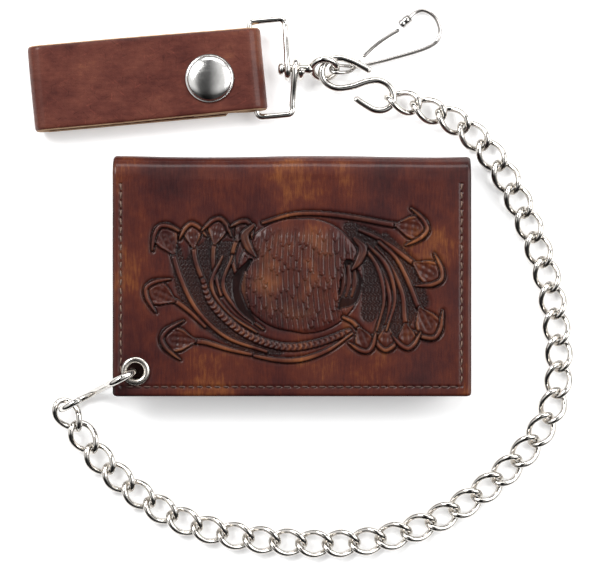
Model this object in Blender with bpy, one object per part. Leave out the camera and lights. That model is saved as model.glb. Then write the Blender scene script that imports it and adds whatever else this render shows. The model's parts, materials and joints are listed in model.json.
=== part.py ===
"""Trifold chain wallet with a curb chain, S-hooks, swivel ring, snap hook and belt strap.

Lengths are written in millimetres and become metres when a mesh is made. The wallet lies
closed on the XY plane with its top fold towards +Y. The chain leaves the lower left corner,
runs round the right side and ends at the belt strap beyond the fold.
"""
import math

import bmesh
import bpy
import numpy as np
from mathutils import Matrix, Vector

MM = 0.001
COVER_RGB = (0.09, 0.030, 0.020)
LINING_RGB = (0.05, 0.02, 0.015)
STRAP_RGB = (0.16, 0.055, 0.03)

# Wallet
WALLET_W = 111.5
WALLET_H = 75.0
WALLET_T = 15.0
CORNER_R = 4.0
COVER_T = 1.8
BACK_T = 1.6
FOLD_Y = 30.0
LOWER_FOLD_Y = -32.0
LOWER_FOLD_R = 3.5
FLAP_END_Y = 18.0
GAP = 0.3
PANEL_R = 3.0
COVER_POCKET_Z = (9.0, 12.9)
DIVIDER_Z = (1.9, 2.4)
CARD_POCKET_Z = (2.7, 4.9)
WINDOW_Z = (7.3, 7.7)
STITCH_BOX = (-53.9, 53.0, -34.9, 28.0)
THREAD_HALF_W = 0.3
ORIGIN = (0.0, 0.0, 0.0)

# Eyelet in the lower left corner of the cover
EYELET = (-48.6, -29.6)
EYELET_HOLE_R = 3.4
EYELET_BORE_R = 2.6
EYELET_FLANGE_R = 4.5

# Chain
LINKS = 37
LINK_WIRE_R = 0.9
LINK_HALF_W = 3.65
LINK_PLAY = 0.5
LINK_STATIONS = 18
LINK_SIDES = 6
CHAIN_LAY = ((-70.3, -44.1), (-58.6, -60.4), (-35.0, -77.2), (-2.0, -84.2), (32.0, -82.2),
             (61.8, -66.8), (82.4, -41.5), (82.6, -9.0), (72.4, 22.0), (62.4, 39.0),
             (50.2, 49.6), (34.9, 55.4))
CHAIN_Z = 2.4
START_Z = (5.9, 4.7, 3.6, 2.8)
START_ROLLS = (16.0, 5.0, 0.0, 0.0)
END_Z = (2.7, 3.3, 4.0, 4.6)
END_ROLLS = (4.0, 12.0, 22.0, 34.0)
HARDWARE_Z = 4.6

# S-hooks. The wallet-end hook lies in one upright plane that leaves the eyelet along HOOK_DIR:
# HOOK_BEND is the centre (along, z) and radius of its bend, HOOK_TAIL goes on down to the chain.
HOOK_WIRE_R = 1.05
HOOK_DIR = (-0.888, -0.460)
HOOK_BEND = (5.0, 13.8, 4.7)
HOOK_TAIL = ((10.2, 10.0), (12.6, 5.6), (16.4, 2.3), (20.4, 1.25), (24.0, 2.3), (26.2, 5.0),
             (26.6, 8.2), (25.2, 10.8), (22.4, 11.8), (19.4, 11.3))
HOOK_SEAT_U = 26.4
HOOK_PIVOT_Z = 14.2
LEASH_HOOK = ((25.1, 64.5), (21.6, 66.4), (18.4, 67.9), (14.5, 68.8), (10.8, 67.6), (9.3, 64.5),
              (10.3, 61.3), (13.5, 59.3), (18.5, 59.6), (23.8, 61.3), (27.5, 61.6), (30.6, 59.9),
              (32.0, 57.0), (31.6, 54.2), (29.3, 52.4), (26.2, 52.3), (22.9, 54.0), (19.6, 56.3))
LEASH_SEAT = (31.95, 55.9, HARDWARE_Z)
SWIVEL_SEAT = (9.3, 64.5, HARDWARE_Z)

# Swivel and ring
EYE_CENTRE = (10.2, 65.3)
EYE_R = 3.9
EYE_WIRE_R = 1.1
EYE_TILT = math.radians(45.0)
POST_R = 1.5
POST_HEAD = (-4.4, -2.8, 2.2)
POST_END = 6.6
RING_WIRE_R = 1.0
RING_W = 11.3
RING_HALF_H = 15.1
RING_CORNER_R = 1.6
COIL_R = 2.8
COIL_X = (-1.4, 1.0, 3.2)

# Snap hook
SNAP_WIRE_R = 0.6
SNAP_Z = 1.3
SNAP_BOW = ((34.9, 79.9), (36.9, 81.6), (39.1, 83.5), (41.6, 84.2), (45.1, 82.2), (46.8, 78.2),
            (46.2, 74.8), (43.5, 72.7), (31.1, 68.8), (23.8, 67.0))
SNAP_LOOP_R = 1.9
GATE_START = (22.4, 69.2, 2.7)
GATE_END = (34.0, 78.0, 1.9)

# Belt strap
STRAP_CENTRE = (-45.5, 62.0)
STRAP_ANGLE = math.radians(5.2)
STRAP_HALF_L = 36.8
STRAP_HALF_W = 13.2
STRAP_T = 2.0
STRAP_TOP = 9.2
STRAP_FLAP_Z = (0.6, 2.4)
STRAP_FLAP_END = 26.4
STRAP_CUT = 3.0
STRAP_TAIL = (13.5, 24.3, 25.6, 26.9, 28.2, 29.5, 30.8)
STRAP_TAIL_Z = 5.0
STRAP_TAIL_RUN = 7.9
SNAP_UV = (19.6, -1.9)
CAP_R = 7.65


def clear_scene():
    for item in list(bpy.data.objects):
        bpy.data.objects.remove(item, do_unlink=True)


def material(name, rgb, metallic, roughness, alpha=1.0):
    """A Principled material with constant values."""
    mat = bpy.data.materials.new(name)
    mat.use_nodes = True
    shader = mat.node_tree.nodes["Principled BSDF"]
    shader.inputs["Base Color"].default_value = (*rgb, 1.0)
    shader.inputs["Metallic"].default_value = metallic
    shader.inputs["Roughness"].default_value = roughness
    shader.inputs["Alpha"].default_value = alpha
    return mat


def leather(name, rgb=COVER_RGB):
    return material(name, rgb, 0.0, 0.42)


def nickel(name):
    return material(name, (0.80, 0.79, 0.77), 1.0, 0.16)


def add_mesh(name, verts, faces, mat, pivot):
    """Make a closed object whose origin is at the pivot, from points in millimetres."""
    pivot = Vector(pivot) * MM
    mesh = bpy.data.meshes.new(name)
    mesh.from_pydata([Vector(v) * MM - pivot for v in verts], [], faces)
    work = bmesh.new()
    work.from_mesh(mesh)
    bmesh.ops.remove_doubles(work, verts=work.verts, dist=1e-7)
    bmesh.ops.recalc_face_normals(work, faces=work.faces)
    work.to_mesh(mesh)
    work.free()
    obj = bpy.data.objects.new(name, mesh)
    obj.location = pivot
    bpy.context.collection.objects.link(obj)
    mesh.materials.append(mat)
    return obj


def boolean(obj, cutter, operation):
    """Apply one exact boolean and remove the tool object."""
    mod = obj.modifiers.new(cutter.name, "BOOLEAN")
    mod.operation = operation
    mod.solver = "EXACT"
    mod.object = cutter
    cutter.hide_render = True
    cutter.display_type = "WIRE"
    graph = bpy.context.evaluated_depsgraph_get()
    result = bpy.data.meshes.new_from_object(obj.evaluated_get(graph))
    obj.modifiers.remove(mod)
    obj.data = result
    bpy.data.objects.remove(cutter, do_unlink=True)


def smooth(points, steps):
    """Centripetal Catmull-Rom curve through the points."""
    points = [np.array(p, float) for p in points]
    first = points[0] * 2 - points[1]
    last = points[-1] * 2 - points[-2]
    chain = [first] + points + [last]
    out = []
    for a, b, c, d in zip(chain, chain[1:], chain[2:], chain[3:]):
        t1 = np.linalg.norm(b - a) ** 0.5
        t2 = t1 + np.linalg.norm(c - b) ** 0.5
        t3 = t2 + np.linalg.norm(d - c) ** 0.5
        for k in range(steps):
            t = t1 + (t2 - t1) * k / steps
            a1 = (t1 - t) / t1 * a + t / t1 * b
            a2 = (t2 - t) / (t2 - t1) * b + (t - t1) / (t2 - t1) * c
            a3 = (t3 - t) / (t3 - t2) * c + (t - t2) / (t3 - t2) * d
            b1 = (t2 - t) / t2 * a1 + t / t2 * a2
            b2 = (t3 - t) / (t3 - t1) * a2 + (t - t1) / (t3 - t1) * a3
            out.append((t2 - t) / (t2 - t1) * b1 + (t - t1) / (t2 - t1) * b2)
    out.append(points[-1])
    return out


def tube(points, radius, sides, closed=False):
    """Sweep a polygon along a line of points; returns verts and faces."""
    pts = [Vector(p) for p in points]
    n = len(pts)
    tangents = []
    for i in range(n):
        ahead = pts[(i + 1) % n] if closed or i < n - 1 else pts[i]
        behind = pts[i - 1] if closed or i > 0 else pts[i]
        tangents.append((ahead - behind).normalized())
    normal = tangents[0].orthogonal().normalized()
    normals = []
    for i in range(n):
        if i:
            normal = tangents[i - 1].rotation_difference(tangents[i]) @ normal
        normals.append(normal.copy())
    slip = 0.0
    if closed:
        back = tangents[-1].rotation_difference(tangents[0]) @ normals[-1]
        slip = math.atan2(tangents[0].dot(back.cross(normals[0])), back.dot(normals[0]))
    verts = []
    for i in range(n):
        turn = Matrix.Rotation(slip * i / n, 3, tangents[i])
        side_a = turn @ normals[i]
        side_b = tangents[i].cross(side_a)
        for k in range(sides):
            angle = 2 * math.pi * k / sides
            verts.append(pts[i] + radius * (math.cos(angle) * side_a + math.sin(angle) * side_b))
    faces = []
    for i in range(n if closed else n - 1):
        for k in range(sides):
            a, b = i * sides, ((i + 1) % n) * sides
            m = (k + 1) % sides
            faces.append((a + k, a + m, b + m, b + k))
    if not closed:
        faces.append(tuple(range(sides)))
        faces.append(tuple((n - 1) * sides + k for k in range(sides)))
    return verts, faces


def lathe(profile, centre, segments):
    """Turn a closed (radius, z) profile about a vertical line. Zero radii close on the axis."""
    verts, faces, rings = [], [], []
    for radius, z in profile:
        if radius < 1e-9:
            rings.append([len(verts)] * segments)
            verts.append((centre[0], centre[1], z))
            continue
        rings.append(list(range(len(verts), len(verts) + segments)))
        for k in range(segments):
            angle = 2 * math.pi * k / segments
            verts.append((centre[0] + radius * math.cos(angle),
                          centre[1] + radius * math.sin(angle), z))
    count = len(profile)
    for i in range(count):
        a, b = rings[i], rings[(i + 1) % count]
        for k in range(segments):
            m = (k + 1) % segments
            corners = []
            for corner in (a[k], a[m], b[m], b[k]):
                if corner not in corners:
                    corners.append(corner)
            if len(corners) > 2:
                faces.append(tuple(corners))
    return verts, faces


def ribbon(stations, place=lambda p: p):
    """Loft a sheet: each station is (outer (a, z), inner (a, z), low side, high side)."""
    verts, faces = [], []
    for outer, inner, low, high in stations:
        for (a, z), side in ((outer, low), (outer, high), (inner, high), (inner, low)):
            verts.append(place((side, a, z)))
    for i in range(len(stations) - 1):
        for k in range(4):
            m = (k + 1) % 4
            faces.append((i * 4 + k, i * 4 + m, i * 4 + 4 + m, i * 4 + 4 + k))
    faces.append((0, 1, 2, 3))
    end = 4 * (len(stations) - 1)
    faces.append((end, end + 1, end + 2, end + 3))
    return verts, faces


def corner_inset(distance, radius):
    """How far a rounded corner stands in from the side, at a distance from the end."""
    if distance >= radius:
        return 0.0
    return radius - math.sqrt(radius ** 2 - (radius - distance) ** 2)


def panel(start, end, z_low, z_high, low, high, radius, round_start=False):
    """Stations of a flat sheet from start to end along Y; one or both ends have round corners."""
    steps = (0.0, 0.12, 0.4, 0.7, 1.0)
    inward = math.copysign(radius, start - end)
    if round_start:
        marks = [(start - inward * f, f * radius) for f in steps]
    else:
        marks = [(start, radius)]
    marks += [(end + inward * f, f * radius) for f in reversed(steps)]
    rows = []
    for y, distance in marks:
        inset = corner_inset(distance, radius)
        rows.append(((y, z_high), (y, z_low), low + inset, high - inset))
    return rows


def arc_rows(centre, outer, inner, start, end, steps, low, high):
    """Stations round a fold; angles in degrees from the +Y direction."""
    rows = []
    for k in range(steps + 1):
        angle = math.radians(start + (end - start) * k / steps)
        c, s = math.cos(angle), math.sin(angle)
        rows.append(((centre[0] + outer * c, centre[1] + outer * s),
                     (centre[0] + inner * c, centre[1] + inner * s), low, high))
    return rows


def build_wallet():
    build_cover()
    build_eyelet()
    build_back_half()


def build_cover():
    """The cover with the top fold, its card pocket and the line of stitching round its edge."""
    half_w, half_h = WALLET_W / 2, WALLET_H / 2
    fold_r = WALLET_T / 2
    rows = panel(FOLD_Y, -half_h, WALLET_T - COVER_T, WALLET_T, -half_w, half_w, CORNER_R)[::-1]
    rows = rows[:-1] + arc_rows((FOLD_Y, fold_r), fold_r, fold_r - COVER_T, 90, -90, 12,
                                -half_w, half_w)
    cover = add_mesh("cover_leather", *ribbon(rows), leather("cover_leather"), ORIGIN)
    punch = ((0, 5), (EYELET_HOLE_R, 5), (EYELET_HOLE_R, 20), (0, 20))
    tool = add_mesh("eyelet_cutter", *lathe(punch, EYELET, 20), leather("cutter"), ORIGIN)
    boolean(cover, tool, "DIFFERENCE")

    pocket = panel(27, -35, *COVER_POCKET_Z, -42, 52.5, PANEL_R, True)
    add_mesh("cover_pocket", *ribbon(pocket), leather("cover_pocket"), ORIGIN)

    left, right, low, top = STITCH_BOX
    straight, corner = 3.0, 0.9
    line = [(left, top), (left, low + straight), (left + corner, low + corner),
            (left + straight, low), (right - straight, low), (right - corner, low + corner),
            (right, low + straight), (right, top)]
    thread = material("cover_stitching", (0.35, 0.20, 0.09), 0, 0.7)
    verts, faces = band(line, THREAD_HALF_W, WALLET_T + 0.05, WALLET_T + 0.4)
    add_mesh("cover_stitching", verts, faces, thread, ORIGIN)


def build_eyelet():
    flange = ((EYELET_BORE_R, 12.3), (3.1, 12.3), (3.1, 15.06), (EYELET_FLANGE_R, 15.06),
              (4.3, 15.5), (3.4, 15.85), (EYELET_BORE_R, 15.6))
    add_mesh("eyelet", *lathe(flange, EYELET, 24), nickel("eyelet"), ORIGIN)
    washer = ((3.25, 12.45), (4.6, 12.45), (4.6, 12.95), (3.25, 12.95))
    add_mesh("eyelet_washer", *lathe(washer, EYELET, 24), nickel("eyelet_washer"), ORIGIN)


def build_back_half():
    """The back with the lower fold, what is sewn to it, and the flap that the lower fold carries."""
    half_w = WALLET_W / 2
    hinge = (0, FOLD_Y, 0)
    flap_top = 2 * LOWER_FOLD_R
    flap_hinge = (0, LOWER_FOLD_Y, flap_top)
    rows = [((FOLD_Y - GAP, 0), (FOLD_Y - GAP, BACK_T), -half_w, half_w)]
    rows += arc_rows((LOWER_FOLD_Y, LOWER_FOLD_R), LOWER_FOLD_R, LOWER_FOLD_R - BACK_T, 270, 90, 10,
                     -half_w, half_w)
    add_mesh("back_leather", *ribbon(rows), leather("back_leather"), hinge)
    divider = panel(28, -31, *DIVIDER_Z, -52, 52, PANEL_R, True)
    add_mesh("bill_divider", *ribbon(divider), leather("bill_divider", LINING_RGB), hinge)
    pocket = panel(22, -31, *CARD_POCKET_Z, -52, 52, PANEL_R, True)
    add_mesh("card_pocket", *ribbon(pocket), leather("card_pocket"), hinge)
    flap = panel(LOWER_FOLD_Y + GAP, FLAP_END_Y, flap_top - BACK_T, flap_top, -half_w, half_w,
                 CORNER_R)
    add_mesh("inner_flap", *ribbon(flap), leather("inner_flap"), flap_hinge)
    window = panel(-28, 14, *WINDOW_Z, -42, 42, PANEL_R, True)
    film = material("id_window", (0.85, 0.88, 0.9), 0, 0.1, 0.35)
    add_mesh("id_window", *ribbon(window), film, flap_hinge)


def band(line, half_width, z_low, z_high):
    """A flat thread of constant width along a plan line."""
    rows = []
    for i, point in enumerate(line):
        before = Vector(line[max(i - 1, 0)])
        after = Vector(line[min(i + 1, len(line) - 1)])
        along = (after - before).normalized()
        across = Vector((-along.y, along.x)) * half_width
        rows.append((Vector(point) - across, Vector(point) + across))
    verts, faces = [], []
    for a, b in rows:
        verts += [(a.x, a.y, z_low), (b.x, b.y, z_low), (b.x, b.y, z_high), (a.x, a.y, z_high)]
    for i in range(len(rows) - 1):
        for k in range(4):
            m = (k + 1) % 4
            faces.append((i * 4 + k, i * 4 + m, i * 4 + 4 + m, i * 4 + 4 + k))
    faces.append((0, 1, 2, 3))
    end = 4 * (len(rows) - 1)
    faces.append((end, end + 1, end + 2, end + 3))
    return verts, faces


def hook_point(u, z):
    return (EYELET[0] + HOOK_DIR[0] * u, EYELET[1] + HOOK_DIR[1] * u, z)


def wallet_hook_line():
    u, z, r = HOOK_BEND
    plan = [(u - r, z - 2.4)]
    for degrees in range(0, 181, 30):
        a = math.radians(degrees)
        plan.append((u - r * math.cos(a), z + r * math.sin(a)))
    plan += list(HOOK_TAIL)
    return [hook_point(*p) for p in plan]


def march(curve, pitch):
    """Step along the curve by a fixed chord; stops at the last link or the end of the curve."""
    centres, index = [curve[0]], 1
    while len(centres) < LINKS and index < len(curve):
        if np.linalg.norm(curve[index] - centres[-1]) >= pitch:
            a, b = curve[index - 1], curve[index]
            da, db = np.linalg.norm(a - centres[-1]), np.linalg.norm(b - centres[-1])
            centres.append(a + (b - a) * (pitch - da) / max(db - da, 1e-9))
        else:
            index += 1
    return centres


def chain_centres():
    """Centres of the links, spaced evenly by chord along the lay of the chain."""
    curve = smooth([(*p, 0.0) for p in CHAIN_LAY], 60)
    low, high = 7.0, 10.0
    for _ in range(40):
        pitch = (low + high) / 2
        if len(march(curve, pitch)) < LINKS:
            high = pitch
        else:
            low = pitch
    return march(curve, low), low


def chain_heights():
    """Heights and rolls (degrees) of the links: on the table, but raised at the hooks."""
    z = [CHAIN_Z] * LINKS
    roll = [0.0] * LINKS
    z[:4] = START_Z
    z[-4:] = END_Z
    roll[:4] = START_ROLLS
    roll[-4:] = END_ROLLS
    return z, roll


def chain_layout():
    """Centres, joints between neighbours, directions and rolls of all links."""
    centres, pitch = chain_centres()
    heights, rolls = chain_heights()
    centres = [Vector((c[0], c[1], z)) for c, z in zip(centres, heights)]
    joints = [(a + b) / 2 for a, b in zip(centres, centres[1:])]
    joints = [Vector(hook_point(HOOK_SEAT_U, centres[0].z))] + joints + [Vector(LEASH_SEAT)]
    return centres, joints, rolls, pitch


def link_line(centre, along, roll, half_l):
    """Closed centre line of one curb link, twisted a quarter turn end to end."""
    side = Vector((0, 0, 1)).cross(along).normalized()
    up = along.cross(side)
    points = []
    for k in range(LINK_STATIONS):
        t = 2 * math.pi * k / LINK_STATIONS
        twist = math.pi / 4 * math.cos(t) + math.radians(roll)
        across = LINK_HALF_W * math.sin(t)
        points.append(centre + along * (half_l * math.cos(t)) + side * (across * math.cos(twist))
                      + up * (across * math.sin(twist)))
    return points


def build_chain():
    centres, joints, rolls, pitch = chain_layout()
    half_l = (pitch + 2 * LINK_WIRE_R + LINK_PLAY) / 2
    for i in range(LINKS):
        along = (joints[i + 1] - joints[i]).normalized()
        line = link_line(centres[i], along, rolls[i], half_l)
        name = "link_%02d" % (i + 1)
        add_mesh(name, *tube(line, LINK_WIRE_R, LINK_SIDES, True), nickel(name), joints[i])


def eye_point(angle):
    """A point on the centre line of the swivel's tilted eye."""
    c, s = EYE_R * math.cos(angle), EYE_R * math.sin(angle)
    return Vector((EYE_CENTRE[0] + c, EYE_CENTRE[1] + s * math.cos(EYE_TILT),
                   HARDWARE_Z + s * math.sin(EYE_TILT)))


def build_hooks():
    line = smooth(wallet_hook_line(), 2)
    add_mesh("wallet_hook", *tube(line, HOOK_WIRE_R, 8), nickel("wallet_hook"),
             (*EYELET, HOOK_PIVOT_Z))
    line = smooth([(x, y, HARDWARE_Z) for x, y in LEASH_HOOK], 2)
    add_mesh("leash_hook", *tube(line, HOOK_WIRE_R, 8), nickel("leash_hook"), LEASH_SEAT)


def build_swivel():
    ring = [eye_point(2 * math.pi * k / 20) for k in range(20)]
    eye = add_mesh("swivel_eye", *tube(ring, EYE_WIRE_R, 8, True), nickel("swivel_eye"), SWIVEL_SEAT)
    x0, x1, head_r = POST_HEAD
    profile = ((0, x0), (head_r * 0.8, x0), (head_r, x0 + 0.4), (head_r, x1), (POST_R, x1),
               (POST_R, POST_END), (0, POST_END))
    verts, faces = lathe(profile, (0, 0), 12)
    verts = [(z, EYE_CENTRE[1] + y, HARDWARE_Z + x) for x, y, z in verts]
    post = add_mesh("post_tool", verts, faces, nickel("post_tool"), SWIVEL_SEAT)
    boolean(eye, post, "UNION")


def strap_point(p):
    """From strap axes (across, along, up) to the shared frame."""
    across, along, z = p
    c, s = math.cos(STRAP_ANGLE), math.sin(STRAP_ANGLE)
    return (STRAP_CENTRE[0] + along * c - across * s, STRAP_CENTRE[1] + along * s + across * c, z)


def ring_bar():
    """Along-strap position of the bar inside the fold."""
    return STRAP_HALF_L - STRAP_T - 0.4 - RING_WIRE_R


def coil_point(x, degrees):
    a = math.radians(degrees)
    return (x, EYE_CENTRE[1] + COIL_R * math.cos(a), HARDWARE_Z + COIL_R * math.sin(a))


def ring_line():
    """Wire of the ring: half a turn on the post, round the rectangle, a whole turn on the post."""
    bar = ring_bar()
    side = bar + RING_W
    h, r = RING_HALF_H, RING_CORNER_R
    line = [coil_point(COIL_X[0], a) for a in range(-90, -271, -30)]
    upper = strap_point((h - 3.0, side, HARDWARE_Z + 0.3))
    top = Vector(line[-1])
    for f in (0.35, 0.7):
        p = top.lerp(Vector(upper), f)
        p.z = top.z + (upper[2] - top.z) * (f * f * (3 - 2 * f))
        line.append(tuple(p))
    line.append(upper)
    corners = ((side - r, h - r, 0), (bar + r, h - r, 90), (bar + r, r - h, 180),
               (side - r, r - h, 270))
    for cu, cv, start in corners:
        for a in (0, 30, 60, 90):
            angle = math.radians(start + a)
            line.append(strap_point((cv + r * math.sin(angle), cu + r * math.cos(angle), HARDWARE_Z)))
    lower = strap_point((3.0 - h, side, HARDWARE_Z + 0.3))
    line.append(lower)
    end = Vector(coil_point(COIL_X[1], 90))
    for f in (0.3, 0.65):
        p = Vector(lower).lerp(end, f)
        p.z = lower[2] + (end.z - lower[2]) * (f * f * (3 - 2 * f))
        line.append(tuple(p))
    for k in range(13):
        line.append(coil_point(COIL_X[1] + (COIL_X[2] - COIL_X[1]) * k / 12, 90 - 30 * k))
    return line


def build_ring():
    add_mesh("ring", *tube(ring_line(), RING_WIRE_R, 6), nickel("ring"), (0, EYE_CENTRE[1], HARDWARE_Z))


def snap_line():
    """Wire of the snap hook, from the ferrule round the bow to the small loop on the swivel eye."""
    line = [(x, y, SNAP_Z + 0.6) if i < 2 else (x, y, SNAP_Z) for i, (x, y) in enumerate(SNAP_BOW)]
    line += [(20.5, 66.3, SNAP_Z), (17.6, 66.5, 1.9)]
    q = eye_point(0)
    w = Vector((0, math.cos(EYE_TILT), -math.sin(EYE_TILT)))
    for a in (75, 110, 145, 180, 215, 250, 285):
        angle = math.radians(a)
        line.append(tuple(q + SNAP_LOOP_R * (Vector((math.cos(angle), 0, 0)) + w * math.sin(angle))))
    line += [(16.6, 64.2, 5.0), (18.4, 64.7, 3.6), (20.0, 66.1, 2.75), (21.6, 68.3, 2.7)]
    return line


def build_snap_hook():
    pivot = eye_point(0)
    add_mesh("snap_hook", *tube(smooth(snap_line(), 2), SNAP_WIRE_R, 6), nickel("snap_hook"), pivot)
    a, b = Vector(snap_line()[0]), Vector(snap_line()[1])
    along = (b - a).normalized()
    mid = a.lerp(b, 0.45)
    ring = ((0.75, -1.9), (1.3, -1.9), (1.45, -1.2), (1.45, 1.2), (1.3, 1.9), (0.75, 1.9))
    verts, faces = lathe(ring, (0, 0), 12)
    turn = Vector((0, 0, 1)).rotation_difference(along)
    verts = [mid + turn @ Vector(v) for v in verts]
    add_mesh("snap_ferrule", verts, faces, nickel("snap_ferrule"), pivot)
    start, end = Vector(GATE_START), Vector(GATE_END)
    bow = [start, start.lerp(end, 0.35) + Vector((-0.35, 0.45, -0.1)),
           start.lerp(end, 0.7) + Vector((-0.3, 0.4, 0)), end]
    add_mesh("snap_gate", *tube(smooth(bow, 3), SNAP_WIRE_R, 6), nickel("snap_gate"), start)


def strap_rows():
    """Stations of the front leather: hidden tail, fold on the ring, front, fold at the other end."""
    w, t, top, half = STRAP_HALF_W, STRAP_T, STRAP_TOP, STRAP_HALF_L
    right = (half - top / 2, top / 2)
    rows = []
    for along in STRAP_TAIL:
        f = min(max((right[0] - along) / STRAP_TAIL_RUN, 0.0), 1.0)
        z = STRAP_TAIL_Z * f * f * (3 - 2 * f)
        rows.append(((along, z), (along, z + t), -w, w))
    rows += arc_rows(right, top / 2, top / 2 - t, 270, 450, 10, -w, w)
    left_r = (top - STRAP_FLAP_Z[0]) / 2
    left = (-half + left_r, top - left_r)
    rows += arc_rows(left, left_r, left_r - t, 90, 270, 10, -w, w)
    return rows, left


def build_strap():
    bar = strap_point((0, ring_bar(), HARDWARE_Z))
    rows, left = strap_rows()
    front = add_mesh("strap_front", *ribbon(rows, strap_point), leather("strap_front", STRAP_RGB), bar)
    snap = strap_point((SNAP_UV[1], SNAP_UV[0], 0))
    hole = ((0, 4), (2.0, 4), (2.0, 12), (0, 12))
    tool = add_mesh("snap_cutter", *lathe(hole, snap, 16), leather("snap_cutter"), bar)
    boolean(front, tool, "DIFFERENCE")

    hinge = strap_point((0, left[0], STRAP_FLAP_Z[0]))
    low, high = STRAP_FLAP_Z
    w, shoulder = STRAP_HALF_W, STRAP_FLAP_END - STRAP_CUT
    rows = [((left[0] + GAP, high), (left[0] + GAP, low), -w, w),
            ((shoulder, high), (shoulder, low), -w, w),
            ((STRAP_FLAP_END, high), (STRAP_FLAP_END, low), STRAP_CUT - w, w - STRAP_CUT)]
    flap = add_mesh("strap_flap", *ribbon(rows, strap_point), leather("strap_flap", STRAP_RGB), hinge)
    hole = ((0, -1), (1.0, -1), (1.0, 4), (0, 4))
    tool = add_mesh("stud_cutter", *lathe(hole, snap, 12), leather("stud_cutter"), hinge)
    boolean(flap, tool, "DIFFERENCE")
    build_snap(snap, bar, hinge)


def build_snap(snap, bar, hinge):
    """The press stud: cap and socket on the front leather, stud and post on the flap."""
    cap = ((0, 11.7), (3.2, 11.45), (5.6, 10.8), (7.1, 9.95), (CAP_R, 9.4), (7.2, 9.26), (1.7, 9.26),
           (1.7, 4.45), (0, 4.45))
    add_mesh("snap_cap", *lathe(cap, snap, 24), nickel("snap_cap"), bar)
    socket = ((2.0, 3.3), (5.0, 3.3), (5.2, 4.0), (5.2, 4.8), (2.0, 4.8))
    add_mesh("snap_socket", *lathe(socket, snap, 20), nickel("snap_socket"), bar)
    stud = ((0.9, 2.5), (4.0, 2.5), (4.0, 2.95), (1.7, 2.95), (1.7, 4.0), (0.9, 4.0))
    add_mesh("snap_stud", *lathe(stud, snap, 20), nickel("snap_stud"), hinge)
    post = ((0, 0.12), (3.6, 0.12), (3.6, 0.5), (0.65, 0.5), (0.65, 3.2), (0, 3.2))
    add_mesh("snap_post", *lathe(post, snap, 16), nickel("snap_post"), hinge)


clear_scene()
build_wallet()
build_chain()
build_hooks()
build_swivel()
build_ring()
build_snap_hook()
build_strap()
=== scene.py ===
"""Looks of the chain wallet: tooled leather, nickel curb chain, hooks, ring and belt strap.

Lengths are in millimetres inside the builders and become metres when a mesh is made. The
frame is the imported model: +X along the wallet's fold, +Y towards the belt strap, +Z up.
"""
import json
import math

import bpy
import numpy as np
from mathutils import Matrix, Vector


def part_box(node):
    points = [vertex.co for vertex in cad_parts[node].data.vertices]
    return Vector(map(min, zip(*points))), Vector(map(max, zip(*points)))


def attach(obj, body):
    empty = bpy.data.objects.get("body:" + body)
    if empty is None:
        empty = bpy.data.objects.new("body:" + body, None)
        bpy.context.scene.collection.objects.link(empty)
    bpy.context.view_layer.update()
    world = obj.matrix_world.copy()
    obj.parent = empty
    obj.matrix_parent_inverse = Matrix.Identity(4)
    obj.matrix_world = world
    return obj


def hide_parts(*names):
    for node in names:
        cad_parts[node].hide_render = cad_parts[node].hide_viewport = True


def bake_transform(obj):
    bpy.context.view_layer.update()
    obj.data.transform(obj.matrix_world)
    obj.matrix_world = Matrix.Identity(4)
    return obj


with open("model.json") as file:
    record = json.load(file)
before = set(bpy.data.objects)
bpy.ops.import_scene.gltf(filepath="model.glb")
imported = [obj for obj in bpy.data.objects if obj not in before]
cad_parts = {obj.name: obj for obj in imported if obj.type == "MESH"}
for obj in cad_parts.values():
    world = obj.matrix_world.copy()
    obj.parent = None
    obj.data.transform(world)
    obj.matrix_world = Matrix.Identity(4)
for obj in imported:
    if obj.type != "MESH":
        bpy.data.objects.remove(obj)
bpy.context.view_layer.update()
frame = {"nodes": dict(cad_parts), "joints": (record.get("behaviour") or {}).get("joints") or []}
MM = 0.001

JOINTS = {j["name"]: j for j in frame["joints"]}
CAP_STEPS = 4              # rings in the round end of a wire


# ---- mesh helpers

def node_box(name):
    """Lowest and highest corner of a CAD node in millimetres."""
    low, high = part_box(name)
    return Vector(low) / MM, Vector(high) / MM


def mesh_object(name, verts, faces, mat, smooth=True):
    mesh = bpy.data.meshes.new(name)
    mesh.from_pydata([tuple(np.array(v, float) * MM) for v in verts], [], faces)
    mesh.update()
    obj = bpy.data.objects.new(name, mesh)
    bpy.context.collection.objects.link(obj)
    mesh.materials.append(mat)
    if smooth:
        mesh.polygons.foreach_set("use_smooth", [True] * len(mesh.polygons))
    return obj


def place(obj, body, nodes):
    """Ride the body and stand in for the CAD nodes."""
    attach(obj, body)
    if nodes:
        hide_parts(*nodes)


def sharp_edges(obj, degrees=38):
    obj.data.set_sharp_from_angle(angle=math.radians(degrees))


def piece(name, shape, mat, body, nodes, sharp=None):
    """Make a piece from its vertices and faces and place it on its body."""
    obj = mesh_object(name, *shape, MATS[mat])
    if sharp:
        sharp_edges(obj, sharp)
    place(obj, body, nodes)


def set_values(obj, name, values):
    """Store one number for each vertex, which the leather's colour reads: darkening by dye and painted shade,
    and painted highlight.
    """
    layer = obj.data.attributes.new(name, "FLOAT", "POINT")
    layer.data.foreach_set("value", np.array(values, np.float32))


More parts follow.
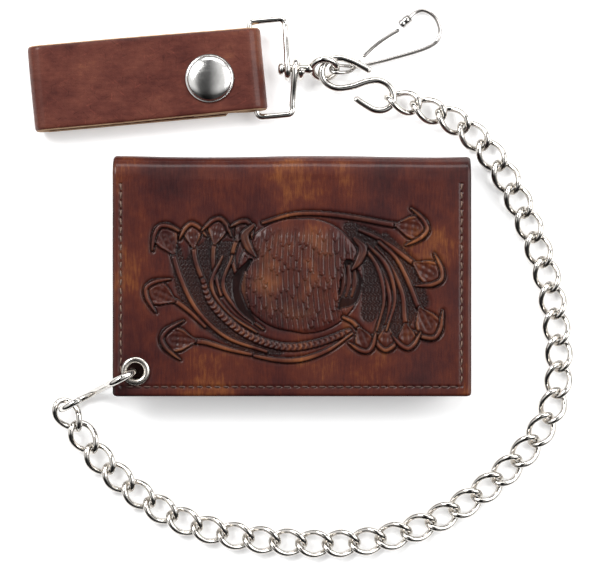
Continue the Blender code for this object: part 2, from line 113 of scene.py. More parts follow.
def smooth_line(points, steps, closed=False):
    """Centripetal Catmull-Rom curve through the points, end points kept."""
    pts = [np.array(p, float) for p in points]
    if closed:
        chain = [pts[-1]] + pts + [pts[0], pts[1]]
    else:
        chain = [pts[0] * 2 - pts[1]] + pts + [pts[-1] * 2 - pts[-2]]
    out = []
    for a, b, c, d in zip(chain, chain[1:], chain[2:], chain[3:]):
        t1 = np.linalg.norm(b - a) ** 0.5
        t2 = t1 + np.linalg.norm(c - b) ** 0.5
        t3 = t2 + np.linalg.norm(d - c) ** 0.5
        for k in range(steps):
            t = t1 + (t2 - t1) * k / steps
            a1 = (t1 - t) / t1 * a + t / t1 * b
            a2 = (t2 - t) / (t2 - t1) * b + (t - t1) / (t2 - t1) * c
            a3 = (t3 - t) / (t3 - t2) * c + (t - t2) / (t3 - t2) * d
            b1 = (t2 - t) / t2 * a1 + t / t2 * a2
            b2 = (t3 - t) / (t3 - t1) * a2 + (t - t1) / (t3 - t1) * a3
            out.append((t2 - t) / (t2 - t1) * b1 + (t - t1) / (t2 - t1) * b2)
    if not closed:
        out.append(pts[-1])
    return out


def ring_faces(rings, size, closed=False):
    """Quads between rings of vertices, with both ends capped unless the rings close up."""
    faces = []
    for i in range(rings if closed else rings - 1):
        a, b = i * size, ((i + 1) % rings) * size
        faces += [(a + k, a + (k + 1) % size, b + (k + 1) % size, b + k) for k in range(size)]
    if not closed:
        faces.append(tuple(reversed(range(size))))
        faces.append(tuple((rings - 1) * size + k for k in range(size)))
    return faces


def tube(points, radius, sides, closed=False):
    """Round wire along a line; open ends are rounded off."""
    pts = [Vector(p) for p in points]
    radii = [radius] * len(pts)
    if not closed:
        first = (pts[0] - pts[1]).normalized()
        last = (pts[-1] - pts[-2]).normalized()
        turns = [math.pi / 2 * k / CAP_STEPS for k in range(1, CAP_STEPS + 1)]
        head = [pts[0] + first * radius * (math.sin(a) - 1) for a in reversed(turns)]
        tail = [pts[-1] + last * radius * (math.sin(a) - 1) for a in turns]
        cap_r = [radius * max(math.cos(a), 0.02) for a in turns]
        pts[0] = pts[0] - first * radius
        pts[-1] = pts[-1] - last * radius
        pts = head + pts + tail
        radii = cap_r[::-1] + radii + cap_r
    n = len(pts)
    tangents = []
    for i in range(n):
        ahead = pts[(i + 1) % n] if closed or i < n - 1 else pts[i]
        behind = pts[i - 1] if closed or i > 0 else pts[i]
        step = ahead - behind
        tangents.append(step.normalized() if step.length > 1e-7 else tangents[-1])
    normals = [tangents[0].orthogonal().normalized()]
    for before, after in zip(tangents, tangents[1:]):
        normals.append(before.rotation_difference(after) @ normals[-1])
    slip = 0.0
    if closed:
        back = tangents[-1].rotation_difference(tangents[0]) @ normals[-1]
        slip = math.atan2(tangents[0].dot(back.cross(normals[0])), back.dot(normals[0]))
    verts = []
    for i in range(n):
        turn = Matrix.Rotation(slip * i / n, 3, tangents[i])
        side_a = turn @ normals[i]
        side_b = tangents[i].cross(side_a)
        for k in range(sides):
            a = 2 * math.pi * k / sides
            verts.append(pts[i] + radii[i] * (math.cos(a) * side_a + math.sin(a) * side_b))
    return verts, ring_faces(n, sides, closed)


def lathe(profile, centre, segments):
    """Turn a closed (radius, z) profile about a vertical line through centre."""
    verts, faces, rings = [], [], []
    for radius, z in profile:
        if radius < 1e-9:
            rings.append([len(verts)] * segments)
            verts.append((centre[0], centre[1], z))
            continue
        rings.append(list(range(len(verts), len(verts) + segments)))
        for k in range(segments):
            a = 2 * math.pi * k / segments
            verts.append((centre[0] + radius * math.cos(a), centre[1] + radius * math.sin(a), z))
    for i in range(len(profile)):
        a, b = rings[i], rings[(i + 1) % len(profile)]
        for k in range(segments):
            m = (k + 1) % segments
            corners = tuple(dict.fromkeys((a[k], a[m], b[m], b[k])))
            if len(corners) > 2:
                faces.append(corners)
    return verts, faces


# ---- materials

class Nodes:
    """Builds the node tree of a new material, given its name, or of a world."""

    def __init__(self, owner, shader="Principled BSDF"):
        self.mat = bpy.data.materials.new(owner) if isinstance(owner, str) else owner
        self.mat.use_nodes = True
        self.tree = self.mat.node_tree
        self.shader = self.tree.nodes[shader]

    def add(self, kind, **values):
        node = self.tree.nodes.new(kind)
        for key, value in values.items():
            if hasattr(node, key):
                setattr(node, key, value)
            else:
                node.inputs[key.replace("_", " ")].default_value = value
        return node

    def link(self, a, b):
        self.tree.links.new(a, b)

    def coords(self, scale=(1, 1, 1), turn=0.0):
        """Object coordinates, in metres, scaled per axis and turned about Z."""
        source = self.add("ShaderNodeTexCoord")
        mapping = self.add("ShaderNodeMapping", vector_type="TEXTURE", Scale=[1 / v for v in scale],
                           Rotation=(0, 0, turn))
        self.link(source.outputs["Object"], mapping.inputs["Vector"])
        return mapping.outputs["Vector"]

    def noise(self, vector, scale, detail=4.0, rough=0.55):
        node = self.add("ShaderNodeTexNoise", Scale=scale, Detail=detail, Roughness=rough)
        self.link(vector, node.inputs["Vector"])
        return node.outputs["Fac"]

    def ramp(self, value, stops):
        node = self.add("ShaderNodeValToRGB")
        while len(node.color_ramp.elements) < len(stops):
            node.color_ramp.elements.new(0.5)
        for element, (position, colour) in zip(node.color_ramp.elements, stops):
            element.position = position
            element.color = (*colour, 1)
        self.link(value, node.inputs["Fac"])
        return node.outputs["Color"]

    def feed(self, socket, value, stops):
        """Lead a value through a colour ramp into one of the shader's sockets."""
        self.link(self.ramp(value, stops), self.shader.inputs[socket])

    def mix(self, kind, factor, a, b):
        node = self.add("ShaderNodeMix", data_type="RGBA", blend_type=kind)
        node.inputs[0].default_value = factor
        self.link(a, node.inputs[6])
        self.link(b, node.inputs[7])
        return node.outputs[2]

    def math(self, kind, a, b):
        node = self.add("ShaderNodeMath", operation=kind)
        for socket, value in zip(node.inputs, (a, b)):
            if isinstance(value, (int, float)):
                socket.default_value = value
            else:
                self.link(value, socket)
        return node.outputs[0]

    def bump(self, height, strength, distance):
        node = self.add("ShaderNodeBump", Strength=strength, Distance=distance)
        self.link(height, node.inputs["Height"])
        self.link(node.outputs["Normal"], self.shader.inputs["Normal"])

    def attribute(self, name):
        return self.add("ShaderNodeAttribute", attribute_name=name).outputs["Fac"]

    def set(self, **values):
        for key, value in values.items():
            self.shader.inputs[key.replace("_", " ")].default_value = value


def grey(value):
    return (value, value, value)


def leather_material(name, stops, rough, patch, streak, relief=False, coat=0.4, scuffed=False):
    """Aniline leather: cloudy dye, fine grain, and in any carving darkening by dye and painted shade in the
    recesses and a painted amber highlight on raised parts and bends.
    """
    n = Nodes(name)
    cloud = n.noise(n.coords(patch), 1.0, 4.0, 0.62)
    streaks = n.noise(n.coords(streak), 1.0, 4.0, 0.7)
    blend = n.math("ADD", n.math("MULTIPLY", cloud, 0.72), n.math("MULTIPLY", streaks, 0.28))
    colour = n.ramp(blend, stops)
    if relief:
        # Darken by dye and painted shade in the recesses: grooves, seeded ground, needle holes and below the
        # feather tips.
        dye_and_shade = n.attribute("dye_and_shade")
        dark = n.ramp(dye_and_shade, [(0.0, grey(1.0)), (0.45, grey(0.62)), (1.0, (0.12, 0.11, 0.13))])
        colour = n.mix("MULTIPLY", 1.0, colour, dark)
        # Add a painted amber highlight, patchy, on the raised carving, the top fold and the strap's bends.
        highlight_colour = n.ramp(n.attribute("painted_highlight"),
                      [(0.0, grey(0.0)), (0.6, (0.008, 0.003, 0.001)), (1.0, (0.045, 0.019, 0.006))])
        warm = n.ramp(n.noise(n.coords(), 95.0, 3.0), [(0.42, grey(0.15)), (0.62, grey(1.6))])
        highlight_colour = n.mix("MULTIPLY", 1.0, highlight_colour, warm)
        colour = n.mix("ADD", 1.0, colour, highlight_colour)
    if scuffed:
        for turn, scale in ((0.5, (190, 3200, 900)), (-0.7, (240, 2600, 900)), (1.5, (300, 3600, 900))):
            lines = n.noise(n.coords(scale, turn), 1.0, 2.0, 0.5)
            mark = n.ramp(lines, [(0.26, (1.45, 1.35, 1.30)), (0.33, grey(1.0)), (0.66, grey(1.0)),
                                  (0.74, grey(0.62))])
            colour = n.mix("MULTIPLY", 1.0, colour, mark)
    fine = n.noise(n.coords(), 2600.0, 3.0, 0.6)
    pores = n.noise(n.coords(), 5200.0, 2.0, 0.5)
    speck = n.ramp(pores, [(0.30, grey(0.72)), (0.55, grey(1.0))])
    colour = n.mix("MULTIPLY", 0.6, colour, speck)
    n.link(colour, n.shader.inputs["Base Color"])
    gloss = n.noise(n.coords(), 700.0, 4.0)
    n.feed("Roughness", gloss, [(0.3, grey(rough[0])), (0.75, grey(rough[1]))])
    n.bump(n.math("ADD", fine, pores), 0.35, 0.00012)
    n.set(Coat_Weight=coat, Coat_Roughness=0.16, Specular_IOR_Level=0.08)
    return n.mat


def edge_material():
    """Tan cut edge of the strap, with the layers of the fibres showing."""
    n = Nodes("cut_edge")
    fibres = n.noise(n.coords((500, 500, 4000)), 1.0, 4.0)
    n.feed("Base Color", fibres, [(0.3, (0.30, 0.17, 0.09)), (0.7, (0.52, 0.34, 0.20))])
    n.feed("Roughness", fibres, [(0.2, grey(0.7)), (0.8, grey(0.9))])
    n.bump(fibres, 0.5, 0.0001)
    return n.mat


def thread_material(name, light, dark):
    """Waxed thread with a twist of fine strands."""
    n = Nodes(name)
    strands = n.noise(n.coords((3500, 3500, 3500)), 1.0, 3.0)
    n.feed("Base Color", strands, [(0.3, dark), (0.7, light)])
    n.feed("Roughness", strands, [(0.2, grey(0.55)), (0.8, grey(0.8))])
    n.bump(strands, 0.6, 0.0001)
    return n.mat


def nickel_material(name, tint=(0.78, 0.76, 0.73), rough=(0.07, 0.16), handled=0.10):
    """Bright nickel plate: faint clouding, hairline scratches and slightly duller patches."""
    n = Nodes(name)
    cloud = n.noise(n.coords(), 420.0, 5.0, 0.6)
    dull = tuple(c * (1 - handled) for c in tint)
    n.feed("Base Color", cloud, [(0.35, dull), (0.65, tint)])
    scratches = n.noise(n.coords((300, 9000, 4000)), 1.0, 3.0, 0.7)
    n.feed("Roughness", scratches, [(0.35, grey(rough[0])), (0.75, grey(rough[1]))])
    n.bump(n.math("ADD", n.math("MULTIPLY", scratches, 0.3), cloud), 0.10, 0.00006)
    n.set(Metallic=1.0)
    return n.mat


def film_material():
    n = Nodes("clear_film")
    haze = n.noise(n.coords(), 300.0, 4.0)
    n.feed("Base Color", haze, [(0.3, (0.80, 0.84, 0.86)), (0.7, (0.90, 0.92, 0.94))])
    n.feed("Roughness", haze, [(0.3, grey(0.08)), (0.8, grey(0.2))])
    n.bump(haze, 0.15, 0.0003)
    n.set(Alpha=0.35)
    return n.mat


COVER_STOPS = [(0.34, (0.020, 0.0060, 0.0070)), (0.46, (0.045, 0.0105, 0.0090)),
               (0.57, (0.076, 0.0175, 0.0105)), (0.68, (0.165, 0.052, 0.016))]
PLAIN_STOPS = [(0.30, (0.030, 0.011, 0.009)), (0.55, (0.060, 0.020, 0.014)), (0.80, (0.090, 0.033, 0.020))]
LINING_STOPS = [(0.30, (0.022, 0.010, 0.009)), (0.70, (0.045, 0.020, 0.015))]
STRAP_STOPS = [(0.32, (0.045, 0.011, 0.009)), (0.46, (0.082, 0.022, 0.016)),
               (0.58, (0.115, 0.034, 0.023)), (0.72, (0.175, 0.062, 0.032))]

MATS = {
    "cover": leather_material("tooled_leather", COVER_STOPS, (0.30, 0.50), (52, 44, 50),
                              (1500, 170, 600), True, 0.30),
    "plain": leather_material("plain_leather", PLAIN_STOPS, (0.34, 0.6), (60, 60, 60), (500, 200, 300)),
    "lining": leather_material("lining_leather", LINING_STOPS, (0.5, 0.75), (90, 90, 90),
                               (600, 600, 600), False, 0.1),
    "strap": leather_material("strap_leather", STRAP_STOPS, (0.34, 0.6), (70, 90, 80),
                              (260, 1100, 500), True, 0.22, True),
    "edge": edge_material(),
    "thread": thread_material("tan_thread", (0.20, 0.125, 0.090), (0.085, 0.045, 0.032)),
    "dark_thread": thread_material("dark_thread", (0.085, 0.042, 0.030), (0.035, 0.015, 0.012)),
    "nickel": nickel_material("nickel", (0.70, 0.675, 0.64), (0.07, 0.16), 0.10),
    "link_nickel": nickel_material("chain_nickel", (0.68, 0.65, 0.61), (0.06, 0.15), 0.14),
    "old_nickel": nickel_material("worn_nickel", (0.60, 0.56, 0.51), (0.16, 0.32), 0.25),
    "spring_nickel": nickel_material("spring_wire", (0.46, 0.44, 0.42), (0.10, 0.20), 0.15),
    "cap_nickel": nickel_material("snap_cap_metal", (0.80, 0.79, 0.77), (0.12, 0.24), 0.12),
    "film": film_material(),
}


# ---- carved design of the cover

DESIGN_TOP = 0.75          # height of the carved shapes above the leather
GROUND_DEPTH = 0.45        # how far the ground round them is pressed down
SEED_PITCH = 1.15          # spacing of the punched seeds


def stroke(points, widths, kind="rib", lift=1.0):
    """One carved shape along a line. kind is rib, bell, leaf, hair, seeds, rope, dome or hollow."""
    line = np.array(smooth_line([(*p, 0.0) for p in points], 9))[:, :2]
    t = np.linspace(0, 1, len(line))
    width = np.interp(t, np.linspace(0, 1, len(widths)), widths)
    return {"line": line, "width": width, "kind": kind, "lift": lift}


def lobe(path, size, stem=0.8):
    """A stem that opens into a flared, scooped lobe at its last point."""
    tip, before = np.array(path[-1], float), np.array(path[-2], float)
    along = (tip - before) / np.linalg.norm(tip - before)
    neck = tip - along * size * 1.5
    out = [stroke([*path[:-1], tuple(neck)], [stem * 0.7, stem, stem * 1.1], "rib", 0.9)]
    side = np.array((-along[1], along[0]))
    out.append(stroke([tuple(neck), tuple(tip - along * size * 0.7), tuple(tip)],
                      [stem * 0.9, size * 0.78, size * 1.06], "bell", 1.1))
    lip = [tip + side * f * size + along * g * size for f, g in LIP]
    out.append(stroke([tuple(p) for p in lip], [0.25, 0.60, 0.72, 0.72, 0.72, 0.60, 0.25], "rib", 1.25))
    return out


LIP = ((-1.45, -0.62), (-1.12, -0.10), (-0.66, 0.50), (0.0, 0.86), (0.66, 0.50), (1.12, -0.10), (1.45, -0.62))
LEFT_LOBES = (([(-8.0, -23.5), (-20.5, -19.0), (-29.5, -10.6), (-34.8, 0.0), (-37.0, 7.6),
                (-39.4, 12.4)], 3.9),
              ([(-27.0, -15.8), (-31.5, -11.4), (-36.0, -8.0), (-42.2, -5.2)], 3.9),
              ([(-11.5, -24.7), (-19.5, -22.9), (-27.3, -20.6), (-36.8, -19.8)], 4.2),
              ([(-17.5, -15.2), (-25.8, -5.0), (-30.0, 5.0), (-31.0, 13.6)], 2.9),
              ([(-22.0, -6.0), (-24.2, 2.0), (-24.4, 8.0), (-23.0, 15.0)], 3.2),
              ([(-17.5, 0.5), (-18.5, 6.0), (-17.6, 10.0), (-15.0, 14.8)], 2.6))
RIGHT_LOBES = (([(-9.0, 16.4), (0.0, 19.0), (8.1, 19.3), (19.4, 18.0), (29.2, 16.2), (38.6, 14.8)], 4.0),
               ([(21.0, 14.2), (26.0, 12.0), (31.5, 8.6), (37.0, 4.4), (43.4, 0.6)], 4.0),
               ([(27.0, 10.4), (32.2, 5.6), (35.8, -1.0), (39.0, -9.0), (42.6, -16.0)], 4.2),
               ([(22.0, 9.7), (28.4, 0.0), (30.6, -8.0), (29.6, -15.0), (29.2, -20.6)], 3.0),
               ([(26.0, 9.0), (31.6, 1.0), (34.4, -6.0), (35.0, -13.0), (35.8, -20.0)], 3.0),
               ([(16.0, -13.0), (19.0, -14.5), (21.0, -17.0), (22.6, -21.0)], 3.1))
ROPE_RUN = ((-27.6, -1.6), (-25.6, -7.4), (-21.4, -12.6), (-15.4, -17.4), (-8.4, -20.7), (-0.9, -22.2),
            (8.1, -20.9), (17.6, -17.4))
PLUME_CENTRE = (2.4, 0.0)
PLUME_R = (19.6, 17.8)
PLUME_TIERS = 6


SEED_BANDS = ((((-24.5, 9.5), (-30.0, 0.0), (-26.5, -10.0), (-15.0, -20.4), (-4.0, -23.6)),
               (3.0, 5.4, 5.0, 3.2, 1.2)),
              (((-36.0, 8.0), (-33.0, -4.0), (-27.0, -14.0)), (1.5, 3.0, 2.5)),
              (((-20.0, 9.0), (-20.5, 2.0), (-19.0, -5.0)), (2.0, 3.0, 2.4)),
              (((18.0, 15.0), (26.0, 9.0), (31.0, 0.0), (32.5, -10.0), (31.0, -18.0)),
               (2.0, 4.4, 6.4, 6.2, 4.2)),
              (((29.0, 12.0), (36.0, 3.0), (40.0, -8.0)), (1.4, 2.8, 2.4)),
              (((20.0, 9.0), (24.5, -2.0), (24.0, -12.0)), (2.0, 3.2, 2.4)))


def plume():
    """The raised round ground of the plumage."""
    cx, cy = PLUME_CENTRE
    rx, ry = PLUME_R
    return stroke([(cx + ry - rx, cy + 0.3), (cx + rx - ry, cy)], [ry - 0.4, ry], "dome")


def plumage(x, y):
    """Tiers of long feathers on the dome: height in millimetres and shade 0-1, zero outside it."""
    cx, cy = PLUME_CENTRE
    rx, ry = PLUME_R
    radial = np.hypot((x - cx) / rx, (y - cy) / ry)
    v = np.clip((cy + ry - y) / (2 * ry), 0, 1)
    flow = (x - cx) / (1.0 + 0.30 * v) + 1.6 * np.sin(2.6 * v + 0.5) - 0.05 * (x - cx) * np.cos(3 * v)
    height, shade = np.zeros_like(x), np.full_like(x, 0.55)
    for tier in reversed(range(PLUME_TIERS)):
        pitch = 1.62 - 0.06 * tier
        u = flow / pitch + 0.5 * (tier % 2)
        index = np.round(u)
        off = 2 * (u - index)
        random = np.modf(np.abs(np.sin(index * 12.99 + tier * 78.23) * 437.585))[0]
        tip = (tier + 0.60 + 0.90 * random - 0.38 * off ** 2) / PLUME_TIERS
        cover = v < tip
        under = np.exp(-np.clip(v - tip, 0, None) / 0.014)
        rise = np.clip(1 - (tip - v) * PLUME_TIERS / 1.6, 0, 1)
        blade = np.sqrt(np.clip(1 - np.abs(off) ** 2.4, 0, 1))
        quill = np.exp(-(off / 0.16) ** 2)
        barbs = 0.5 + 0.5 * np.cos(9.0 * (y + 0.9 * np.abs(off) * pitch))
        body = 0.46 * blade * (0.35 + 0.65 * rise) - 0.14 * quill - 0.08 * barbs * np.abs(off)
        # Shade of each feather: darker at its sides, quill and barbs, painted lighter where it rises to the
        # tip.
        dark = 0.95 * np.abs(off) ** 4 + 0.42 * quill + 0.30 * barbs * np.abs(off) - 0.25 * rise
        dark = np.clip(dark, 0, 1)
        # Just below each feather tip the height dips and a painted shadow is laid.
        height = np.where(cover, body, height * (1 - 0.7 * under))
        shade = np.where(cover, dark, np.maximum(shade, 0.9 * under))
    inside = np.clip((1 - radial) / 0.06, 0, 1)
    smooth_crown = np.clip((v - 0.06) / 0.10, 0, 1)
    return height * inside * smooth_crown, shade * inside * smooth_crown


def design():
    """Carved shapes from the back to the front: seeded ground, stems and lobes, plume and rope."""
    shapes = [stroke(path, widths, "seeds") for path, widths in SEED_BANDS]
    shapes.append(plume())
    for path, size in LEFT_LOBES + RIGHT_LOBES:
        shapes += lobe(path, size)
    for f in (0.0, 1.0):
        shapes.append(stroke([(-21.6 + 3 * f, 6.0), (-25.0 + 3.6 * f, -3.0), (-20.0 + 3 * f, -11.5 + f),
                              (-11.0 + 2 * f, -17.6 + f)], [0.5, 0.75, 0.6, 0.4], "rib", 0.8))
        shapes.append(stroke([(20.6 + 2.6 * f, 11.0 - f), (26.4 + 3 * f, 3.0), (28.6 + 3.4 * f, -7.0),
                              (26.4 + 3 * f, -17.0)], [0.5, 0.75, 0.6, 0.4], "rib", 0.8))
    shapes.append(stroke([(-12.8, 5.0), (-16.6, -1.5), (-15.4, -9.0), (-11.8, -14.4)],
                         [0.5, 2.1, 2.2, 0.5], "hollow"))
    shapes.append(stroke([(17.6, 3.6), (18.4, -1.6), (17.4, -6.6), (14.6, -10.0)],
                         [1.6, 3.6, 3.4, 0.6], "hollow"))
    for x in (15.8, 17.6, 19.4):
        shapes.append(stroke([(x, 3.0), (x + 0.2, -2.0), (x - 0.8, -6.4)], [0.5, 0.8, 0.3], "hair", 1.6))
    shapes.append(stroke([(-14.4, 1.0), (-15.0, -4.0), (-13.4, -10.0)], [0.4, 0.8, 0.3], "hair", 1.6))
    for side, x, y in ((-1, -12.0, 15.6), (1, 19.4, 11.6)):
        shapes.append(stroke([(x, y), (x + 2.6 * side, y - 3.0), (x + 1.4 * side, y - 7.0),
                              (x - 0.6 * side, y - 9.6)], [0.6, 1.5, 1.3, 0.4], "leaf"))
    shapes.append(stroke(ROPE_RUN, [0.9, 1.25, 1.25, 1.25, 1.25, 1.0], "rope", 0.9))
    shapes.append(stroke([(-11.5, -24.9), (-4.0, -26.2), (3.0, -26.0), (11.0, -23.2), (18.7, -18.0)],
                         [0.6, 0.8, 0.8, 0.7, 0.4], "rib", 0.8))
    return shapes


def shape_profile(kind, f, best, run, out):
    """Height 0-1 across a shape: f is 0 on its centre line and 1 at its edge."""
    round_top = np.sqrt(np.clip(1 - f ** 2.6, 0, 1))
    if kind == "bell":
        rim = np.exp(-((f - 0.84) / 0.13) ** 2)
        flutes = 0.16 * np.cos(3.3 * best) + 0.10 * np.cos(2.9 * run)
        return 0.30 + 0.62 * rim + 0.20 * f + flutes * (f < 0.72)
    if kind == "leaf":
        return round_top - 0.34 * np.exp(-(best / 0.26) ** 2)
    if kind == "seeds":
        return np.zeros_like(f)
    if kind == "rope":
        return round_top * (0.50 + 0.50 * np.cos(2 * math.pi * (run + 0.5 * out) / 1.7))
    if kind == "dome":
        return np.clip(1 - f ** 3.2, 0, 1) ** 0.7
    return round_top


def carve(x, y):
    """Relief in millimetres, how dark each point is from dye and painted shade (0-1), and how much painted
    highlight (0-1) its raised shapes give it.
    """
    height, painted_highlight, edge = np.zeros_like(x), np.zeros_like(x), np.zeros_like(x)
    nearest = np.full_like(x, 9.0)
    seeds = (0.5 + 0.5 * np.cos(2 * math.pi * (x + 0.5 * np.round(y / SEED_PITCH)) / SEED_PITCH)
             * np.cos(2 * math.pi * y / SEED_PITCH))
    for shape in design():
        line, width, kind = shape["line"], shape["width"], shape["kind"]
        reach = width.max() + 1.6
        low, high = line.min(0) - reach, line.max(0) + reach
        pick = np.nonzero((x > low[0]) & (x < high[0]) & (y > low[1]) & (y < high[1]))[0]
        px, py = x[pick], y[pick]
        best = np.full(len(pick), 1e9)
        at_w, run_at, run = np.zeros(len(pick)), np.zeros(len(pick)), 0.0
        for (ax, ay), (bx, by), w0, w1 in zip(line, line[1:], width, width[1:]):
            length = math.hypot(bx - ax, by - ay)
            t = np.clip(((px - ax) * (bx - ax) + (py - ay) * (by - ay)) / length ** 2, 0, 1)
            dist = np.hypot(px - ax - (bx - ax) * t, py - ay - (by - ay) * t)
            closer = dist < best
            best = np.where(closer, dist, best)
            at_w = np.where(closer, w0 + (w1 - w0) * t, at_w)
            run_at = np.where(closer, run + length * t, run_at)
            run += length
        out = best - at_w
        inner = out < 0
        f = np.clip(best / np.maximum(at_w, 0.05), 0, 1)
        body = shape_profile(kind, f, best, run_at, out)
        groove = np.exp(-(np.clip(out, 0, None) / (0.28 if kind == "hair" else 0.40)) ** 2)
        old = height[pick]
        if kind == "hair":
            value = old + 0.26 * shape["lift"] * body
            outside = old - 0.22 * groove
            shade = edge[pick] * 0.4
            outer_shade = np.maximum(edge[pick], 0.75 * groove)
        elif kind in ("seeds", "hollow"):
            # Seeded ground and hollows are dark from dye and painted shade, a little lighter on the tops of
            # the seeds.
            depth = GROUND_DEPTH if kind == "seeds" else GROUND_DEPTH + 0.25
            value = -depth + (0.42 * seeds[pick] if kind == "seeds" else 0)
            outside = old
            shade = 1.0 - 0.35 * seeds[pick] if kind == "seeds" else np.full_like(f, 0.92)
            outer_shade = edge[pick]
        else:
            value = DESIGN_TOP * shape["lift"] * (0.25 + 0.75 * body)
            if kind == "dome":
                feathers, feather_shade = plumage(px, py)
                value = value + feathers
            outside = old * (1 - 0.8 * groove) - (0.30 if kind != "dome" else 0.1) * groove
            # Dye and painted shade along each shape's outline, painted shade where its rounded top falls
            # away.
            shade = np.clip(0.75 * np.exp(-(out / 0.22) ** 2) + 0.55 * (1 - body) * (kind != "dome"), 0, 1)
            if kind == "dome":
                shade = np.maximum(shade, feather_shade)
            outer_shade = np.maximum(edge[pick], groove)
        height[pick] = np.where(inner, value, outside)
        edge[pick] = np.where(inner, shade, outer_shade)
        top = 0.0 if kind in ("seeds", "hollow") else body
        painted_highlight[pick] = np.where(inner, top, painted_highlight[pick] * (1 - groove))
        nearest[pick] = np.minimum(nearest[pick], np.clip(out, 0, 9))
    # The ground dips in a bevel beside the shapes and is darkened there by dye and painted shade.
    bevel = np.clip(1 - nearest / 1.5, 0, 1) * (nearest > 0)
    height -= 0.24 * bevel ** 2
    edge = np.maximum(edge, 0.45 * bevel)
    return height, painted_highlight, edge


def grain_patch(x, y):
    """Slow waves of the leather surface."""
    return 0.10 * np.sin(0.21 * x + 1.0) * np.sin(0.16 * y + 0.4)


def needle_holes(across, along, size):
    """0-1 at holes spaced at the stitch pitch along a line."""
    phase = along / STITCH_PITCH
    off = (phase - np.round(phase)) * STITCH_PITCH
    return np.exp(-(across ** 2 + off ** 2) / size ** 2)


def stitch_marks(x, y):
    """0-1 at the needle holes beside the stitches."""
    upright = (y > STITCH_LOW - 0.5) * (y < STITCH_TOP)
    left = needle_holes(x - STITCH_LEFT, y - STITCH_LOW, 0.34) * upright
    right = needle_holes(x - STITCH_RIGHT, y - STITCH_LOW, 0.34) * upright
    foot = needle_holes(y - STITCH_LOW, x - STITCH_LEFT, 0.40) * (x > STITCH_LEFT) * (x < STITCH_RIGHT)
    return np.maximum(np.maximum(left, right), foot)


# ---- wallet

cover_low, cover_high = node_box("cover_leather")
pocket_low, pocket_high = node_box("cover_pocket")
eyelet_low, eyelet_high = node_box("eyelet")
EYELET = ((eyelet_low.x + eyelet_high.x) / 2, (eyelet_low.y + eyelet_high.y) / 2)
HALF_W = cover_high.x
FOLD_R = cover_high.z / 2
FOLD_Y = JOINTS["main_fold"]["pos_m"][1] / MM
FREE_Y = cover_low.y
TOP_Z = cover_high.z
LEATHER_T = 1.75
FOLD_POWER = 0.78
CORNER_R = 1.3
LOWER_Y = JOINTS["inner_fold"]["pos_m"][1] / MM
LOWER_R = JOINTS["inner_fold"]["pos_m"][2] / MM / 2
LOWER_SWEEP = 168
FOLD_STEPS = 32
LOWER_STEPS = 12
SKIN_COLUMNS = 440
LOWER_COLUMNS = 120
INNER_DYE = 0.55           # how dark the flesh side of the leather is dyed
HOLE_R = 3.4
EYELET_R = 4.5
POCKET_STEPS = 28
STITCH_LEFT, STITCH_RIGHT, STITCH_LOW, STITCH_TOP = -53.2, 52.7, -34.5, 29.0
STITCH_PITCH = 2.75
STITCH_R = 0.27
STITCH_SINK = 0.40
STITCH_SLANT = 0.12


def skin_path():
    """Rows of the wallet's outer skin: (y, z, normal y, normal z, in from the free end)."""
    rows = []
    for d in np.concatenate((np.linspace(0, 2, 12)[:-1], np.arange(2, FOLD_Y - FREE_Y, 0.25))):
        rows.append((FREE_Y + d, TOP_Z, 0.0, 1.0, d))
    flat = FOLD_Y - FREE_Y
    for k in range(FOLD_STEPS + 1):
        a = math.radians(90 - 180 * k / FOLD_STEPS)
        c, s = math.cos(a), math.sin(a)
        out, up = abs(c) ** FOLD_POWER, math.copysign(abs(s) ** FOLD_POWER, s)
        ny, nz = abs(c) ** (2 - FOLD_POWER), math.copysign(abs(s) ** (2 - FOLD_POWER), s)
        length = math.hypot(ny, nz)
        rows.append((FOLD_Y + FOLD_R * out, FOLD_R + FOLD_R * up, ny / length, nz / length, flat + k))
    for y in np.linspace(FOLD_Y - 2, LOWER_Y, 20):
        rows.append((y, 0.0, 0.0, -1.0, 200.0))
    return rows


def lower_fold_path():
    """Rows of the same skin where it turns round the lower edge of the back half."""
    rows = []
    for k in range(LOWER_STEPS + 1):
        a = math.radians(270 - LOWER_SWEEP * k / LOWER_STEPS)
        c, s = math.cos(a), math.sin(a)
        rows.append((LOWER_Y + LOWER_R * c, LOWER_R + LOWER_R * s, c, s, 200.0))
    return rows


def stitch_dip(x, y):
    """The shallow channel that the stitching lies in."""
    down = np.clip(1 - np.abs(y - STITCH_LOW) / 0.9, 0, 1) * (x > STITCH_LEFT) * (x < STITCH_RIGHT)
    sides = np.minimum(np.abs(x - STITCH_LEFT), np.abs(x - STITCH_RIGHT))
    across = np.clip(1 - sides / 0.9, 0, 1) * (y > STITCH_LOW) * (y < STITCH_TOP)
    return np.maximum(down, across)


def sheet_faces(count, columns):
    """The fine outer grid, then for each row the two sides and the inside, then both ends."""
    faces = []
    for j in range(count - 1):
        for i in range(columns - 1):
            a = j * columns + i
            faces.append((a, a + 1, a + columns + 1, a + columns))
    base = count * columns
    for j in range(count - 1):
        left, right = j * columns, (j + 1) * columns - 1
        low = base + 2 * j
        faces.append((left, left + columns, low + 2, low))
        faces.append((right, low + 1, low + 3, right + columns))
        faces.append((low, low + 2, low + 3, low + 1))
    faces.append(tuple(range(columns - 1, -1, -1)) + (base, base + 1))
    faces.append(tuple(range(base - columns, base)) + (base + 2 * count - 1, base + 2 * count - 2))
    return faces


